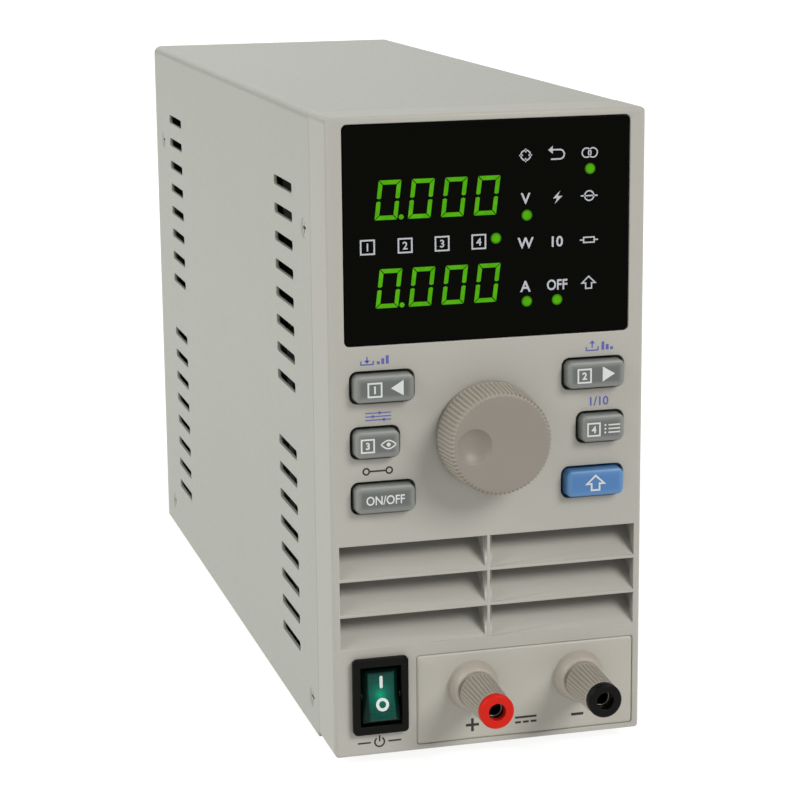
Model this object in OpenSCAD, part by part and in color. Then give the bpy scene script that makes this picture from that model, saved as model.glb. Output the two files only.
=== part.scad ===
// DC electronic load: bench instrument in a tall half-width case.
// Millimetres. +Z is up, the front panel faces -Y, the origin lies under the
// middle of the instrument on the plane that its feet stand on.
// Inside the modules y = 0 is the front face and z = 0 the underside of the
// case; place() moves that to the frame above.

/* [Case] */
// Width of the case
body_w = 88.9; // [88.4:0.1:89.2]
// Height of the case without its feet
body_h = 176.5; // [176:0.5:178]
// Depth of the case from the front face to the rear panel
body_d = 268; // [268:0.5:276]
// Depth of the moulded front bezel
bezel_d = 18.5; // [18:0.1:18.6]
// Thickness of the front wall of the bezel
face_t = 3; // [2.6:0.1:3.1]
// Wall thickness of the sides of the bezel
bezel_wall = 1.7; // [1.5:0.1:1.8]
// Rounding of the front edges of the bezel
edge_r = 1.3; // [0.8:0.1:1.5]
// Thickness of the cover's sheet metal
sheet_t = 1; // [1:0.1:1.2]
// Height of the rubber feet
foot_h = 3; // [2.5:0.5:6]

/* [Display] */
// Width of the display window
win_w = 79.8; // [76:0.1:79.8]
// Height of the display window
win_h = 58.8; // [54:0.1:58.8]
// Height of the middle of the display window
win_z = 145; // [144:0.1:145]

/* [Controls] */
// Diameter of the control knob at its base
knob_d = 30; // [24:0.2:30]
// How far the control knob stands out from the panel
knob_h = 12; // [10:0.5:16]
// Height of the middle of the control knob
knob_z = 89; // [88.5:0.1:89.5]
// Width of the wide keys
key_w = 16.6; // [15:0.1:17.4]
// Width of the narrow keys
key_s = 12.4; // [11:0.1:13.2]
// Height of the keys
key_h = 7.5; // [7:0.1:8.2]
// How far the keys stand out from the panel
key_out = 3; // [1.5:0.1:3.5]

/* [Terminals] */
// Distance between the binding posts
post_gap = 30.8; // [28:0.1:31]
// Diameter of the binding-post caps at their outer end
cap_d = 9.6; // [9.4:0.1:10.4]
// Bore of the plug sockets
socket_d = 4; // [3.9:0.1:4.2]

/* [Hidden] */
$fn = 48;
hw = body_w / 2;
rear_out = 3.15;
post_out = 22.7;
y0 = -(body_d + rear_out - post_out) / 2;
key_rows = [104.25, 89.05, 73.75];
key_x = 29.85;
key_xs = 31.95;
key_gap = 0.7;
boss = [[-36, 113.2], [36, 113.2], [-36, 65.2], [36, 65.2]];
lv_z = [30.7, 40.5, 50.6];
lv_top = 60.4;
lv_x = 42.3;
lv_slope = 0.875;
sw = [-31.5, 17.65];
plate_c = [10.65, 14.75];
post_z = 17.5;
posts = [10.75 - post_gap / 2, 10.75 + post_gap / 2];
cs = [[27, 144], [27, 9], [body_d - 15, 144], [body_d - 15, 9]];
slot_z = [for (k = [0:7]) 152.9 - k * 8.12];
slot_z2 = [for (k = [0:7]) 76.4 - k * 8.15];
chassis_pts = [[-30, 27], [30, 27], [-30, body_d - 10], [30, body_d - 10]];
feet = [[-32, 42], [32, 42], [-32, 238], [32, 238]];
fan_z = 54;
fan_p = 35.75;
inl = [-17, 134];
sel = [24, 134];
yr = body_d;
deck = 112;
led_x = [10.8, 19.5, 28.6];
led_z = [160.3, 148.5, 136.8, 125.1];
led_row = [-28.55, -18.3, -8.05, 2.2];

// ---------------------------------------------------------------- helpers
module place() translate([0, y0, foot_h]) children();

// flat outline in x and z, drawn out from y = a to y = b
module slab(a, b) translate([0, b, 0]) rotate([90, 0, 0]) linear_extrude(b - a) children();

// flat outline in y and z, drawn out from x = a to x = b
module prism_x(a, b) translate([a, 0, 0]) rotate([90, 0, 90]) linear_extrude(b - a) children();

module ycyl(x, z, a, b, r) translate([x, b, z]) rotate([90, 0, 0]) cylinder(h = b - a, r = r);
module xcyl(y, z, a, b, r) translate([a, y, z]) rotate([0, 90, 0]) cylinder(h = b - a, r = r);
module box(a, b) translate(a) cube([b[0] - a[0], b[1] - a[1], b[2] - a[2]]);

// profile of radius and y, turned about a line along y
module turn_y(x, z) translate([x, 0, z]) rotate([-90, 0, 0]) rotate_extrude() children();

module rrect(w, h, r) {
  square([w - 2 * r, h], center = true);
  square([w, h - 2 * r], center = true);
  for (sx = [-1, 1], sy = [-1, 1])
    translate([sx * (w / 2 - r), sy * (h / 2 - r)]) circle(r);
}

module rrect_at(c, w, h, r) translate(c) rrect(w, h, r);
module rect_at(a, b) translate(a) square([b[0] - a[0], b[1] - a[1]]);

// tube of round section swept along points; the route runs mainly in y and z
function unit(v) = v / norm(v);
function dirs(p) = [for (i = [0:len(p) - 1])
  unit((i < len(p) - 1 ? p[i + 1] : p[i]) - (i > 0 ? p[i - 1] : p[i]))];
function ring(c, t, r, n) = let (a = unit(cross(t, [1, 0, 0.02])), b = cross(t, a))
  [for (k = [0:n - 1]) c + r * (cos(360 * k / n) * a + sin(360 * k / n) * b)];
module tube(p, r, n = 10) {
  d = dirs(p);
  m = len(p);
  pts = [for (i = [0:m - 1]) each ring(p[i], d[i], r, n)];
  sides = [for (i = [0:m - 2], k = [0:n - 1])
    [i * n + k, i * n + (k + 1) % n, (i + 1) * n + (k + 1) % n, (i + 1) * n + k]];
  polyhedron(points = pts, faces = concat(
    [[for (k = [n - 1:-1:0]) k]], sides, [[for (k = [0:n - 1]) (m - 1) * n + k]]), convexity = 4);
}

// ------------------------------------------------------------------- case
// louvre slat with its lip at height z, sloping up and back to depth y1
module slat(z, y1) prism_x(-hw + bezel_wall - 0.3, hw - bezel_wall + 0.3)
  polygon([[0, z - 0.2], [0, z + 0.8], [y1, z + 0.8 + lv_slope * y1], [y1, z - 0.7 + lv_slope * y1], [0.6, z - 0.2]]);

// upright between the two columns of louvres, with a rounded front
module mullion(y1) translate([0, 0, lv_z[0] - 0.5]) linear_extrude(lv_top - lv_z[0] + 1) {
  rect_at([-1.1, 0.6], [0.9, y1]);
  rect_at([-0.5, 0], [0.3, 1]);
  for (x = [-0.5, 0.3]) translate([x, 0.6]) circle(0.6);
}

module bezel_block() intersection() {
  slab(0, bezel_d) rrect_at([0, body_h / 2], body_w, body_h, 2);
  prism_x(-hw - 1, hw + 1) union() {
    rect_at([edge_r, 0], [bezel_d, body_h]);
    rect_at([0, edge_r], [edge_r + 1, body_h - edge_r]);
    for (z = [edge_r, body_h - edge_r]) translate([edge_r, z]) circle(edge_r);
  }
  translate([0, 0, -1]) linear_extrude(body_h + 2) union() {
    rect_at([-hw, edge_r], [hw, bezel_d]);
    rect_at([-hw + edge_r, 0], [hw - edge_r, edge_r + 1]);
    for (x = [-hw + edge_r, hw - edge_r]) translate([x, edge_r]) circle(edge_r);
  }
}

module key_holes() for (s = [-1, 1]) {
  for (i = [0, 2]) rrect_at([s * key_x, key_rows[i]], key_w + 2 * key_gap, key_h + 2 * key_gap, 2.2);
  rrect_at([s * key_xs, key_rows[1]], key_s + 2 * key_gap, key_h + 2 * key_gap, 2.2);
}

module front_bezel() color("#bab5a9") place() difference() {
  union() {
    difference() {
      bezel_block();
      slab(face_t, bezel_d + 1)
        rrect_at([0, body_h / 2], body_w - 2 * bezel_wall, body_h - 2 * bezel_wall, 1);
      // window pocket and opening
      slab(-1, 2.25) rrect_at([0, win_z], win_w + 0.3, win_h + 0.3, 1.5);
      slab(-1, face_t + 1) rrect_at([0, win_z], win_w - 3.8, win_h - 3.8, 1);
      slab(-1, face_t + 1) key_holes();
      ycyl(0, knob_z, -1, face_t + 1, 4.6);
      // louvre openings
      slab(-1, face_t + 1) {
        rect_at([-lv_x, lv_z[0]], [lv_x, lv_top]);
      }
      slab(-1, face_t + 1) translate(sw) square([13.2, 19.4], center = true);
      // pocket and holes of the terminal plate
      slab(-1, 1.5) rrect_at(plate_c, 63.3, 25.9, 0.9);
      for (x = posts) ycyl(x, post_z, -1, face_t + 1, 4.1);
    }
    for (z = lv_z) slat(z, 9.6);
    mullion(9.6);
    for (b = boss) ycyl(b[0], b[1], face_t - 0.5, 13, 2.8);
    for (s = [-1, 1], z = [9, 144]) mirror([s < 0 ? 1 : 0, 0, 0]) {
      box([hw - 3.1, bezel_d - 6, z - 6], [hw - 1.4, 34, z + 6]);
      box([hw - 3.1, bezel_d - 10, z - 6], [hw - 1, bezel_d, z + 6]);
    }
  }
  for (b = boss) ycyl(b[0], b[1], 5, 14, 1.1);
  for (i = [0, 1]) xcyl(cs[i][0], cs[i][1], -hw - 1, hw + 1, 1.7);
}

module display_window() color("#0b0b0c") place()
  slab(0.25, 2.25) rrect_at([0, win_z], win_w, win_h, 1.4);

module terminal_plate() color("#b4aea1") place() difference() {
  slab(0, 1.5) rrect_at(plate_c, 62.7, 25.3, 0.7);
  for (x = posts) ycyl(x, post_z, -1, 2, 4.1);
}

module top_cover() color("#b3b4a9") place() difference() {
  slab(bezel_d + 0.3, body_d) difference() {
    union() {
      rect_at([-hw, 0], [hw, body_h - 2.5]);
      rect_at([-hw + 2.5, body_h - 3], [hw - 2.5, body_h]);
      for (s = [-1, 1]) translate([s * (hw - 2.5), body_h - 2.5]) circle(2.5);
    }
    rect_at([-hw + sheet_t, -1], [hw - sheet_t, body_h - 2.5]);
    rect_at([-hw + 2.5, body_h - 4], [hw - 2.5, body_h - sheet_t]);
    for (s = [-1, 1]) translate([s * (hw - 2.5), body_h - 2.5]) circle(2.5 - sheet_t);
  }
  for (z = concat(slot_z, slot_z2), y = [52.8, 228])
    prism_x(-hw - 1, hw + 1) rrect_at([y, z], 23.2, 2.8, 0.9);
  for (c = cs, s = [0, 1]) mirror([s, 0, 0]) {
    translate([hw - sheet_t - 0.01, c[0], c[1]]) rotate([0, 90, 0])
      cylinder(h = sheet_t + 0.02, r1 = 1.75, r2 = 3.1);
    xcyl(c[0], c[1], hw - sheet_t - 1, hw - sheet_t + 0.1, 1.75);
  }
}

module cover_screws() color("#c9c9c4") place()
  for (c = cs, s = [0, 1]) mirror([s, 0, 0]) difference() {
    union() {
      translate([hw - sheet_t, c[0], c[1]]) rotate([0, 90, 0])
        cylinder(h = sheet_t - 0.3, r1 = 1.6, r2 = 2.55);
      xcyl(c[0], c[1], hw - 8.5, hw - sheet_t, 1.4);
    }
    translate([hw - 0.45, c[0], c[1]]) {
      cube([1, 0.7, 3.4], center = true);
      cube([1, 3.4, 0.7], center = true);
    }
  }

module chassis_tray() color("#9a9c9a") place() difference() {
  union() {
    box([-hw + sheet_t + 0.3, bezel_d + 1.4, 0], [hw - sheet_t - 0.3, body_d, 1.2]);
    for (s = [0, 1]) mirror([s, 0, 0])
      box([hw - sheet_t - 1.5, 45, 0], [hw - sheet_t - 0.3, 236, 12]);
  }
  for (p = chassis_pts) translate([p[0], p[1], -1]) cylinder(h = 4, r = 1.7);
}

module front_subpanel() color("#a5a7a5") place() difference() {
  union() {
    difference() {
      slab(18.7, 19.7) rect_at([-hw + 3.2, 2.4], [hw - 3.2, body_h - 3]);
      slab(18, 20) {
        rect_at([-38.6, 64], [38.6, 170]);
        for (k = [-9:9]) rect_at([k * 4 - 1.2, 31], [k * 4 + 1.2, 60.5]);
        rect_at([-39, 6], [-23, 28]);
        rect_at([-16, 6], [38, 28]);
      }
    }
    for (s = [0, 1]) mirror([s, 0, 0])
      box([hw - 4.2, 19.6, 2.4], [hw - 3.2, 38, body_h - 3]);
    box([-hw + 3.2, 18.7, 1.25], [hw - 3.2, 36, 2.45]);
  }
  for (i = [0, 1]) xcyl(cs[i][0], cs[i][1], -hw - 1, hw + 1, 1.45);
  for (p = chassis_pts) translate([p[0], p[1], 0]) cylinder(h = 4, r = 1.45);
}

module rear_panel() color("#a9aba6") place() difference() {
  union() {
    difference() {
      slab(yr - 1.2, yr) rect_at([-hw + sheet_t + 0.2, 1.25], [hw - sheet_t - 0.2, body_h - sheet_t - 0.3]);
      ycyl(0, fan_z, yr - 2, yr + 1, 38.5);
      for (a = [-1, 1], b = [-1, 1]) ycyl(a * fan_p, fan_z + b * fan_p, yr - 2, yr + 1, 2.2);
      slab(yr - 2, yr + 1) translate(inl) square([27.6, 34.6], center = true);
      slab(yr - 2, yr + 1) translate(sel) square([12, 22.4], center = true);
    }
    for (s = [0, 1]) mirror([s, 0, 0])
      box([hw - sheet_t - 1.2, yr - 25, 2.5], [hw - sheet_t - 0.2, yr - 1.1, 170]);
    box([-38, yr - 18, 1.25], [38, yr - 1.1, 2.45]);
  }
  for (i = [2, 3]) xcyl(cs[i][0], cs[i][1], -hw - 1, hw + 1, 1.45);
  for (p = chassis_pts) translate([p[0], p[1], 0]) cylinder(h = 4, r = 1.45);
}

module chassis_screws() color("#c4c5c2") place()
  for (p = chassis_pts) translate([p[0], p[1], 0]) difference() {
    union() {
      translate([0, 0, -1.8]) cylinder(h = 1.8, r1 = 2.3, r2 = 2.8);
      translate([0, 0, -0.1]) cylinder(h = 6, r = 1.4);
    }
    translate([0, 0, -1.9]) cube([0.7, 3, 1.6], center = true);
    translate([0, 0, -1.9]) cube([3, 0.7, 1.6], center = true);
  }

module rubber_feet() color("#262626") place()
  for (p = feet) translate([p[0], p[1], -foot_h]) cylinder(h = foot_h, r1 = 6, r2 = 6.8);

// ------------------------------------------------- display and key board
module display_board() color("#1f5a36") place() difference() {
  slab(13, 14.6) rect_at([-38.6, 62.2], [38.6, 171]);
  for (b = boss) ycyl(b[0], b[1], 12, 16, 1.3);
}

module board_screws() color("#c4c5c2") place()
  for (b = boss) {
    ycyl(b[0], b[1], 14.6, 16.4, 2.4);
    ycyl(b[0], b[1], 6, 14.7, 1.05);
  }

module digit_modules() color("#1c1c1c") place()
  for (z = [146.2, 122.6]) box([-35, 4.5, z], [7, 13, z + 16.6]);

module indicator_leds() color("#7fd33a") place() {
  for (x = led_x, z = led_z) ycyl(x, z, 6, 13, 1.5);
  for (x = led_row) ycyl(x, 142.7, 6, 13, 1.25);
}

key_pos = [[-key_x, key_rows[0]], [key_x, key_rows[0]], [-key_xs, key_rows[1]],
  [key_xs, key_rows[1]], [-key_x, key_rows[2]], [key_x, key_rows[2]]];

module key_switches() color("#303030") place() difference() {
  for (k = key_pos) translate([k[0] - 3, 9.5, k[1] - 3]) cube([6, 3.5, 6]);
  for (k = key_pos) ycyl(k[0], k[1], 9, 12.2, 1.85);
}

module encoder_body() color("#8c8e8c") place() difference() {
  union() {
    box([-6, 6.6, knob_z - 6.5], [6, 13, knob_z + 6.5]);
    ycyl(0, knob_z, 0.4, 7, 3.9);
  }
  ycyl(0, knob_z, 0, 10.2, 3.05);
}

module encoder_shaft() color("#b9bab8") place() ycyl(0, knob_z, -9, 9.8, 3);

module control_knob() color("#9b9284") place() difference() {
  turn_y(0, knob_z) polygon([[3, -0.8], [knob_d / 2, -0.8], [knob_d / 2, -1.6],
    [knob_d / 2 - 0.75, -knob_h + 0.9], [knob_d / 2 - 1.6, -knob_h], [0, -knob_h],
    [0, -9], [3, -9]]);
  translate([-7.5, -knob_h - 7.55, knob_z - 0.2]) sphere(r = 9);
}

module key_cap(i, w) difference() {
  union() {
    slab(-key_out, 3.4) rrect_at(key_pos[i], w, key_h, 1.7);
    slab(3.3, 4.5) rrect_at(key_pos[i], w + 2.8, key_h + 2.6, 2.4);
    ycyl(key_pos[i][0], key_pos[i][1], 4.4, 10.3, 1.6);
  }
}

module key_left() color("#868986") place() key_cap(0, key_w);
module key_right() color("#868986") place() key_cap(1, key_w);
module key_view() color("#868986") place() key_cap(2, key_s);
module key_mode() color("#868986") place() key_cap(3, key_s);
module key_on_off() color("#868986") place() key_cap(4, key_w);
module key_shift() color("#5a96d7") place() key_cap(5, key_w);

// ------------------------------------------------------------ power switch
module switch_housing() color("#161616") place() difference() {
  union() {
    slab(-1.8, 0) rrect_at(sw, 15.75, 21.85, 1.3);
    slab(-0.1, 16) translate(sw) square([13, 19.2], center = true);
  }
  slab(-3, 12) translate(sw) square([11.5, 16.9], center = true);
  xcyl(0, sw[1], sw[0] - 6.3, sw[0] + 6.3, 1.26);
}

module switch_terminals() color("#c8b26a") place()
  for (z = [-6, 0, 6]) box([sw[0] - 2.4, 16, sw[1] + z - 0.4], [sw[0] + 2.4, 24, sw[1] + z + 0.4]);

// rocker tipped by half its swing, so that its upper half is pressed in
module power_rocker() color("#0f8f70") place()
  translate([sw[0], 0, sw[1]]) rotate([-10.5, 0, 0]) union() {
    xcyl(0, 0, -6.15, 6.15, 1.2);
    prism_x(-5.4, 5.4) polygon([[0.4, 0], [0.2, 7.5], [1.4, 7.3], [5, 4], [5, -4], [1.4, -7.3], [0.2, -7.5]]);
    // each half of the face is raised, with slopes down to its edges
    for (s = [-1, 1]) hull() {
      prism_x(-3.8, 3.8) polygon([[-1.3, 0], [-2.8, s * 6.5], [0.4, s * 7], [0.4, 0]]);
      prism_x(-5.4, 5.4) polygon([[0.2, 0], [-0.5, s * 7.6], [0.6, s * 7.5], [0.6, 0]]);
    }
  }

// ----------------------------------------------------------- binding posts
module post_collars() color("#9a9285") place()
  for (x = posts) turn_y(x, post_z) polygon([[3.05, -4], [5.6, -4], [6.3, -3.3],
    [6.9, -1.8], [7.25, 0], [4, 0], [4, 3], [3.05, 3]]);

module post_studs() color("#d3d1c8") place()
  for (x = posts) difference() {
    ycyl(x, post_z, -19.1, 16, 3);
    ycyl(x, post_z, -20, 2, socket_d / 2);
  }

module post_bushes() color("#9a9285") place()
  for (x = posts) turn_y(x, post_z) polygon([[3.05, 3], [6.8, 3], [6.8, 5], [3.05, 5]]);

module post_nuts() color("#c9b36c") place()
  for (x = posts) difference() {
    translate([x, 9, post_z]) rotate([90, 0, 0]) cylinder(h = 4, r = 5.4, $fn = 6);
    ycyl(x, post_z, 4, 10, 3.05);
  }

module solder_lugs() color("#cfcdc6") place()
  for (x = posts) difference() {
    union() {
      ycyl(x, post_z, 9, 10, 5);
      box([x - 2.4, 9, post_z + 2], [x + 2.4, 10, post_z + 9.2]);
    }
    ycyl(x, post_z, 8, 11, 3.05);
  }

module washer(x) turn_y(x, post_z) polygon([[3.1, -4.35], [4.6, -4.35], [4.6, -4.05], [3.1, -4.05]]);
module clamp_washer_pos() color("#c9c9c4") place() washer(posts[0]);
module clamp_washer_neg() color("#c9c9c4") place() washer(posts[1]);

module cap(x) turn_y(x, post_z) polygon([[3.08, -post_out + 2.4], [cap_d / 2, -post_out + 2.4], [cap_d / 2 + 0.6, -4.9],
  [cap_d / 2 + 0.3, -4.4], [3.08, -4.4]]);
module post_cap_pos() color("#8b8377") place() cap(posts[0]);
module post_cap_neg() color("#8b8377") place() cap(posts[1]);

module end_ring(x) turn_y(x, post_z) polygon([[2.4, -post_out], [cap_d / 2 - 0.4, -post_out],
  [cap_d / 2, -post_out + 0.4], [cap_d / 2, -post_out + 2.4], [2.4, -post_out + 2.4]]);
module post_ring_pos() color("#d9251c") place() end_ring(posts[0]);
module post_ring_neg() color("#181818") place() end_ring(posts[1]);

module input_cables() color("#a3231d") place() {
  tube([[posts[0], 10, 24.3], [posts[0], 20, 24.3], [-2, 32, 28], [4, 42, 48], [10, 48, 74],
    [13, 52, 98], [13, 56, 112], [13, 61, 118], [13, 66, 118.5]], 1.9, 8);
  tube([[posts[1], 10, 24.3], [posts[1], 20, 24.3], [26.5, 32, 28], [27, 42, 48], [27, 48, 74],
    [27, 52, 98], [27, 56, 112], [27, 61, 118], [27, 66, 118.5]], 1.9, 8);
}

// --------------------------------------------------------- power and cooling
module heat_sink() color("#b7b9bb") place() slab(90, 226) {
  rect_at([-36, 94], [36, 100]);
  for (k = [0:11]) rect_at([-36 + k * 6.4, 22], [-34.4 + k * 6.4, 94.5]);
}

module sink_brackets() color("#9fa19f") place()
  for (s = [0, 1], y = [95, 206]) mirror([s, 0, 0]) {
    box([36, y, 1.2], [37.5, y + 15, 99]);
    box([28, y, 1.2], [36.5, y + 15, 2.7]);
  }

module power_transistors() color("#202020") place()
  for (x = [-20, 6], y = [112, 146]) {
    box([x - 8, y, 100], [x + 8, y + 21, 105]);
    for (k = [-5.4, 0, 5.4]) {
      box([x + k - 0.6, y - 4, 102], [x + k + 0.6, y + 0.5, 102.8]);
      box([x + k - 0.6, y - 4, 102], [x + k + 0.6, y - 3.2, deck]);
    }
  }

module standoffs() color("#c9b36c") place()
  for (x = [-33, 33], y = [98, 158, 218]) translate([x, y, 100]) cylinder(h = deck - 100, r = 3, $fn = 6);

module main_board() color("#1f5a36") place() box([-37.5, 62, deck], [37.5, 238, deck + 1.6]);

module terminal_block() color("#2d6f3c") place() difference() {
  box([6, 66, deck + 1.6], [34, 77, deck + 12]);
  for (x = [13, 27]) translate([x, 71.5, deck + 8]) cylinder(h = 6, r = 2.4);
}

module capacitors() color("#23303f") place() {
  for (p = [[-24, 184], [-24, 204]]) translate([p[0], p[1], deck + 1.6]) cylinder(h = 26, r = 8);
  for (p = [[-22, 100], [-22, 116], [20, 100]]) translate([p[0], p[1], deck + 1.6]) cylinder(h = 16, r = 5);
}

module transformer_core() color("#6d6f72") place() difference() {
  box([-8, 188, deck + 1.6], [36, 206, deck + 38]);
  for (x = [-2, 20]) box([x, 187, deck + 8], [x + 10, 207, deck + 32]);
}

module transformer_winding() color("#c79b3a") place() difference() {
  box([-2, 182, deck + 8], [30, 212, deck + 32]);
  box([8, 187.9, deck + 7], [20, 206.1, deck + 33]);
}

module ribbon_cable() color("#a7a9ac") place() prism_x(-30, -8)
  polygon([[14.6, 103.4], [22, 103.4], [36, 107], [50, 116], [58, 117.6], [65, 116.4], [69, 113.6],
    [71, 113.6], [66, 117.4], [58, 118.8], [49.4, 117.2], [35.5, 108.2], [21.8, 104.6], [14.6, 104.6]]);

module mains_harness() color("#3a3a3a") place()
  tube([[sw[0], 24.1, sw[1]], [-31.6, 28, 18], [-32.4, 34, 24], [-34.6, 40, 42], [-35.4, 44, 76], [-35.4, 48, 112],
    [-35.4, 54, 138], [-35.4, 66, 152], [-35.4, 84, 157], [-35.4, 120, 158], [-35.4, 160, 158],
    [-35.4, 200, 158], [-34, 220, 156], [-28, 233, 150], [-20, 241, 143], [-17, 246, 140], [-17, 250, 139.5]], 2.2, 8);

// ---------------------------------------------------------------- rear side
module fan_frame() color("#1d1d1d") place() difference() {
  union() {
    difference() {
      slab(yr - 26.2, yr - 1.2) rrect_at([0, fan_z], 80, 80, 4);
      ycyl(0, fan_z, yr - 27, yr, 38.6);
    }
    ycyl(0, fan_z, yr - 5, yr - 1.2, 17);
    for (a = [0, 90, 180, 270]) translate([0, 0, fan_z]) rotate([0, a + 45, 0])
      box([16, yr - 4.6, -2], [39, yr - 1.2, 2]);
  }
  ycyl(0, fan_z, yr - 6, yr - 2.4, 1.6);
  for (a = [-1, 1], b = [-1, 1]) ycyl(a * fan_p, fan_z + b * fan_p, yr - 27, yr, 2.15);
}

module fan_rotor() color("#2a2a2a") place() {
  ycyl(0, fan_z, yr - 25, yr - 5.8, 17);
  ycyl(0, fan_z, yr - 6, yr - 2.6, 1.5);
  intersection() {
    translate([0, yr - 15.5, fan_z]) for (k = [0:6]) rotate([0, k * 360 / 7, 0])
      rotate([38, 0, 0]) translate([27, 0, 0]) cube([22, 1.6, 26], center = true);
    ycyl(0, fan_z, yr - 24.4, yr - 6.4, 37.6);
  }
}

module guard_ring(r) translate([0, yr + 1.85, fan_z]) rotate([90, 0, 0])
  rotate_extrude() translate([r, 0]) circle(0.75);

module fan_guard() color("#cfd0cd") place() {
  for (r = [9.5, 16.5, 23.5, 30.5, 37.5]) guard_ring(r);
  for (a = [45:90:315]) translate([0, yr + 0.75, fan_z]) rotate([0, a, 0]) {
    translate([9, 0, 0]) rotate([0, 90, 0]) cylinder(h = 39.2, r = 0.75);
    translate([fan_p * sqrt(2), 0, 0]) rotate([90, 0, 0]) rotate_extrude() translate([2.9, 0]) circle(0.75);
  }
}

module fan_screws() color("#c4c5c2") place()
  for (a = [-1, 1], b = [-1, 1]) translate([a * fan_p, 0, fan_z + b * fan_p]) difference() {
    union() {
      ycyl(0, 0, yr + 1.5, yr + rear_out, 3.6);
      ycyl(0, 0, yr - 12, yr + 1.6, 1.9);
    }
    translate([0, yr + rear_out, 0]) cube([4, 1.6, 0.8], center = true);
    translate([0, yr + rear_out, 0]) cube([0.8, 1.6, 4], center = true);
  }

module mains_inlet() color("#191919") place() difference() {
  union() {
    slab(yr, yr + 2) rrect_at(inl, 31, 38, 2);
    slab(yr - 18, yr + 0.1) translate(inl) square([27, 34], center = true);
  }
  slab(yr - 14, yr + 3) translate([inl[0], inl[1] - 6.5])
    polygon([[-12, -8.2], [12, -8.2], [12, 3.5], [7.5, 8.2], [-7.5, 8.2], [-12, 3.5]]);
  slab(yr - 15.5, yr + 3) translate([inl[0], inl[1] + 10]) square([22, 10], center = true);
  for (p = [[-7, -7.5], [7, -7.5], [0, -3.5]]) box(
    [inl[0] + p[0] - 1, yr - 19, inl[1] + p[1] - 2], [inl[0] + p[0] + 1, yr - 13, inl[1] + p[1] + 2]);
}

module inlet_pins() color("#d3d1c8") place()
  for (p = [[-7, -7.5], [7, -7.5], [0, -3.5]]) box(
    [inl[0] + p[0] - 1, yr - 24, inl[1] + p[1] - 2], [inl[0] + p[0] + 1, yr - 3, inl[1] + p[1] + 2]);

module fuse_drawer() color("#222222") place() difference() {
  union() {
    slab(yr - 15, yr + 2.2) translate([inl[0], inl[1] + 10]) square([21.4, 9.4], center = true);
    slab(yr + 2.3, yr + 3) rrect_at([inl[0], inl[1] + 10], 24, 11.6, 1);
    slab(yr + 2, yr + 2.6) translate([inl[0], inl[1] + 10]) square([21.4, 9.4], center = true);
  }
  box([inl[0] - 10.2, yr - 12, inl[1] + 7.2], [inl[0] + 10.2, yr - 6.6, inl[1] + 15.2]);
}

module fuse() color("#d9d9d4") place() xcyl(yr - 9.3, inl[1] + 9.8, inl[0] - 10, inl[0] + 10, 2.5);

module selector_body() color("#1c1c1c") place() difference() {
  union() {
    slab(yr, yr + 1.6) rrect_at(sel, 15, 30, 1.2);
    slab(yr - 12, yr + 0.1) translate(sel) square([11.6, 22], center = true);
  }
  slab(yr - 6, yr + 2) translate(sel) square([6.4, 14], center = true);
}

module selector_slider() color("#b3261e") place()
  slab(yr - 5.7, yr + 0.9) translate([sel[0], sel[1] - 3.4]) square([5.8, 6.4], center = true);

// -------------------------------------------------------------------- part
front_bezel();
display_window();
terminal_plate();
top_cover();
chassis_tray();
front_subpanel();
rear_panel();
cover_screws();
chassis_screws();
rubber_feet();
display_board();
board_screws();
digit_modules();
indicator_leds();
key_switches();
encoder_body();
encoder_shaft();
control_knob();
key_left();
key_right();
key_view();
key_mode();
key_on_off();
key_shift();
switch_housing();
switch_terminals();
power_rocker();
post_collars();
post_studs();
post_bushes();
post_nuts();
solder_lugs();
clamp_washer_pos();
clamp_washer_neg();
post_cap_pos();
post_cap_neg();
post_ring_pos();
post_ring_neg();
input_cables();
heat_sink();
sink_brackets();
power_transistors();
standoffs();
main_board();
terminal_block();
capacitors();
transformer_core();
transformer_winding();
ribbon_cable();
mains_harness();
fan_frame();
fan_rotor();
fan_guard();
fan_screws();
mains_inlet();
inlet_pins();
fuse_drawer();
fuse();
selector_body();
selector_slider();
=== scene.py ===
"""Looks of the DC electronic load, built around its packed construction.

Lengths in the helpers are millimetres in the part's own layout: x from the
middle, y back from the front face, z up from the underside of the case.
P() turns them into the shared frame in metres.
"""
import math

import bmesh
import bpy
from mathutils import Matrix, Vector


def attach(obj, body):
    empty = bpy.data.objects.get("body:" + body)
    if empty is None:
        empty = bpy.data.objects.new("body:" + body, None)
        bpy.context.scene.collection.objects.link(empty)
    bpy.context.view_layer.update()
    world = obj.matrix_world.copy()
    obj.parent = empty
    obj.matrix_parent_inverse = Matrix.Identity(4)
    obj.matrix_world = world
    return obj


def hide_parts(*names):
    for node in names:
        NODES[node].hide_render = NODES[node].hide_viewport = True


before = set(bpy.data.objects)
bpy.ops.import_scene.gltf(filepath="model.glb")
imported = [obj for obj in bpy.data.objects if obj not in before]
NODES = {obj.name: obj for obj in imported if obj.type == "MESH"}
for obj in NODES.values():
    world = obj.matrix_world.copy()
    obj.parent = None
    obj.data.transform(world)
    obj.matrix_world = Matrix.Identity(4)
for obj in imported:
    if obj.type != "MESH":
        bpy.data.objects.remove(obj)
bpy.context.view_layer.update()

MM = 0.001
Y0, Z0 = -124.225, 3.0
PI = math.pi


def P(x, y, z):
    return Vector((x * MM, (y + Y0) * MM, (z + Z0) * MM))


def lin(r, g, b, k=1.0):
    """Display colour of 0 to 255 as scene colour, scaled by k."""
    out = []
    for v in (r, g, b):
        v = v / 255.0
        out.append(k * (v / 12.92 if v <= 0.04045 else ((v + 0.055) / 1.055) ** 2.4))
    return tuple(out)


def shade(c, k):
    return (c[0] * k, c[1] * k, c[2] * k, 1.0)


# ------------------------------------------------------------------ materials
MATS = {}


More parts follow.
